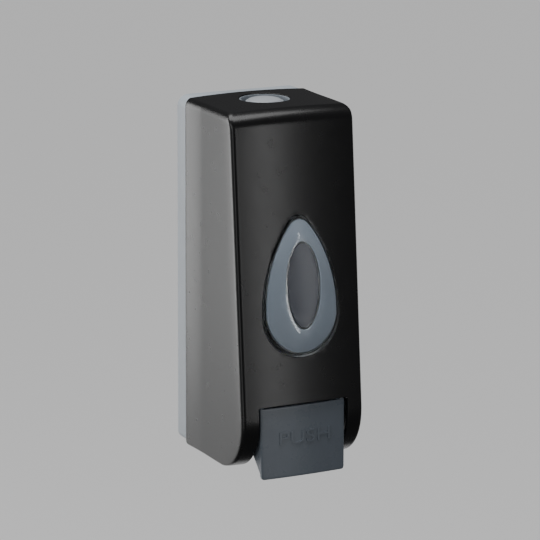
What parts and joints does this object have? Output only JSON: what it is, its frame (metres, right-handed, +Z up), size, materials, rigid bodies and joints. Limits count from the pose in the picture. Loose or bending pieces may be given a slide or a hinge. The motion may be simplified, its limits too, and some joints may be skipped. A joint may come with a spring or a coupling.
{
  "type": "wall mounted soap dispenser",
  "caption": "Wall mounted push-lever soap dispenser with a hinged black cover, drop-shaped window and latch button.",
  "frame": {"origin": "centre of the back plate's rear face, on the wall", "axes": "+X to the right as a user faces it, +Y into the wall, +Z up; the front faces -Y"},
  "size_m": [0.076, 0.0853, 0.2035],
  "materials": {
    "black_plastic": "satin black moulded plastic",
    "mist_plastic": "satin light blue-grey moulded plastic",
    "haze_plastic": "satin light blue-grey moulded plastic",
    "slate_plastic": "satin blue-grey moulded plastic",
    "pale_plastic": "satin light grey moulded plastic",
    "clear_plastic": "clear moulded plastic",
    "smoke_plastic": "smoke-tinted clear plastic",
    "milky_plastic": "milky translucent blow-moulded plastic",
    "white_plastic": "plain white moulded plastic",
    "seal_rubber": "soft black seal rubber",
    "steel": "bright stainless steel"
  },
  "bodies": {
    "base": {"back_plate": "mist_plastic", "hinge_pin_left": "steel", "hinge_pin_right": "steel", "neck_bracket": "mist_plastic", "bracket_screw_left": "steel", "bracket_screw_right": "steel", "reservoir": "milky_plastic", "reservoir_lid": "white_plastic", "neck_gasket": "seal_rubber", "pump_collar": "white_plastic", "pump_body": "white_plastic", "stem_guide": "white_plastic", "inlet_valve": "seal_rubber", "pump_spring": "steel"},
    "plunger": {"plunger_stem": "white_plastic", "piston_seal": "seal_rubber", "outlet_ball": "steel", "outlet_spring": "steel", "nozzle": "white_plastic"},
    "cover": {"front_cover": "black_plastic", "window_lens": "clear_plastic", "window_bezel": "haze_plastic", "window_pane": "smoke_plastic", "button_guide": "haze_plastic", "guide_screw_left": "steel", "guide_screw_right": "steel", "latch_spring": "steel", "lever_pin": "steel"},
    "button": {"latch_button": "pale_plastic"},
    "lever": {"push_lever": "slate_plastic"}
  },
  "joints": [
    {"name": "cover_hinge", "type": "hinge", "parent": "base", "child": "cover", "pos_m": [0, -0.0144, -0.097], "axis": [1, 0, 0], "range_deg": [0, 90]},
    {"name": "lever_hinge", "type": "hinge", "parent": "cover", "child": "lever", "pos_m": [0, -0.076, -0.058], "axis": [1, 0, 0], "range_deg": [0, 13], "stiffness_Nm_per_rad": 0.45, "springref_deg": -5.73},
    {"name": "plunger_slide", "type": "slide", "parent": "base", "child": "plunger", "axis": [0, 0, 1], "range_m": [0, 0.0072], "deforming": ["pump_spring"]},
    {"name": "button_slide", "type": "slide", "parent": "cover", "child": "button", "axis": [0, 0, -1], "range_m": [0, 0.003], "stiffness_N_per_m": 300, "springref_m": -0.002, "deforming": ["latch_spring"]}
  ],
  "couplings": [
    {"joint": "plunger_slide", "follows": "lever_hinge", "m_per_rad": 0.0315}
  ]
}
